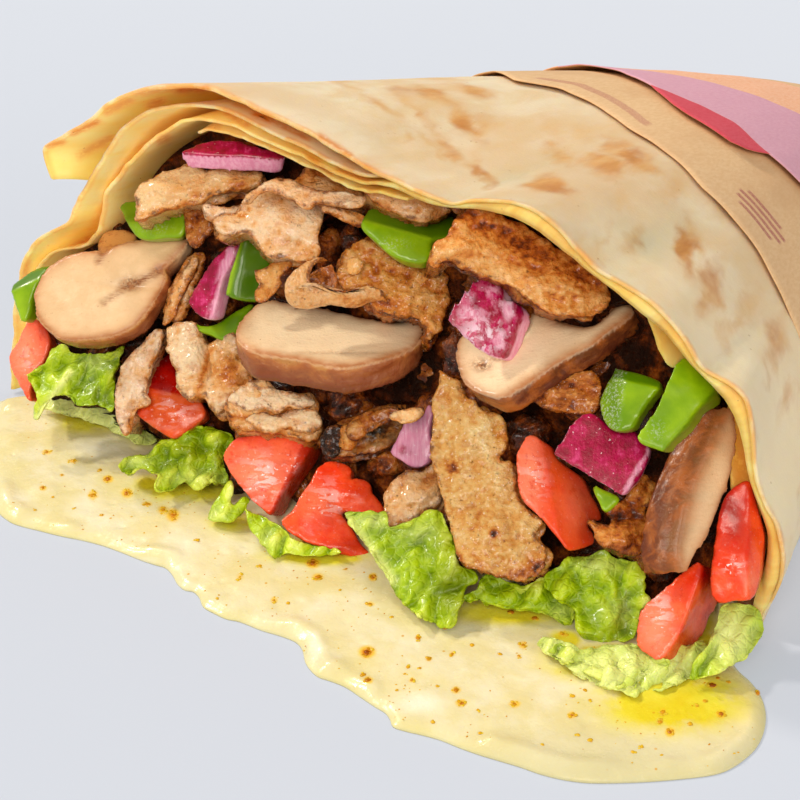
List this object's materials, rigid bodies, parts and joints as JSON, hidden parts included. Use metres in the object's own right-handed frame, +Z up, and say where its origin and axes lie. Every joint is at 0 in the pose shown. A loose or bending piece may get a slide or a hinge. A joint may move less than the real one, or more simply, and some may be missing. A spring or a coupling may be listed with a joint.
{
  "type": "cheesesteak crepe wrap",
  "caption": "Savoury crepe folded into a cone and laid on its side in a paper sleeve, its mouth packed with fried meat, mushroom and salad on spilled melted cheese.",
  "frame": {"origin": "on the surface it lies on, under the middle of the whole object's box", "axes": "+Z up; -Y out of the open mouth, +Y back along the cone to the pinched paper tip; +X to the right as seen looking into the mouth"},
  "size_m": [0.182, 0.2691, 0.0849],
  "materials": {
    "crepe": "matte, browned in elongated spots",
    "paper": "uncoated kraft paper with flat fields of colour",
    "cheese": "glossy, slightly translucent melted cheese",
    "filling": "rough, dark fried mince",
    "meat": "fried, granular, greasy sheen",
    "mushroom": "smooth cut face, brown skin",
    "onion": "moist, magenta skin fading to white",
    "pepper": "moist, glossy green skin",
    "tomato": "wet, glossy flesh",
    "lettuce": "moist, ruffled leaf"
  },
  "bodies": {
    "root": {"cheese": "cheese", "crepe": "crepe", "filling": "filling", "lettuce_between": "lettuce", "lettuce_curl": "lettuce", "lettuce_edge": "lettuce", "lettuce_left": "lettuce", "lettuce_low": "lettuce", "lettuce_mid": "lettuce", "lettuce_right": "lettuce", "lettuce_stub": "lettuce", "lettuce_stub_b": "lettuce", "meat_back": "meat", "meat_back_left": "meat", "meat_big": "meat", "meat_char": "meat", "meat_chunk": "meat", "meat_chunk_b": "meat", "meat_crust": "meat", "meat_curl": "meat", "meat_flap": "meat", "meat_fringe": "meat", "meat_gravel": "meat", "meat_rim": "meat", "meat_roll": "meat", "meat_strip": "meat", "meat_top": "meat", "meat_wing": "meat", "mushroom_back": "mushroom", "mushroom_edge": "mushroom", "mushroom_left": "mushroom", "mushroom_mid": "mushroom", "mushroom_right": "mushroom", "onion_deep": "onion", "onion_pale": "onion", "onion_square": "onion", "onion_strip": "onion", "onion_top": "onion", "paper": "paper", "pepper_far": "pepper", "pepper_low": "pepper", "pepper_mid": "pepper", "pepper_right": "pepper", "pepper_right_b": "pepper", "pepper_top": "pepper", "pepper_top_left": "pepper", "tomato_edge": "tomato", "tomato_far": "tomato", "tomato_front": "tomato", "tomato_left": "tomato", "tomato_mid": "tomato", "tomato_right": "tomato", "tomato_small": "tomato"}
  },
  "joints": []
}
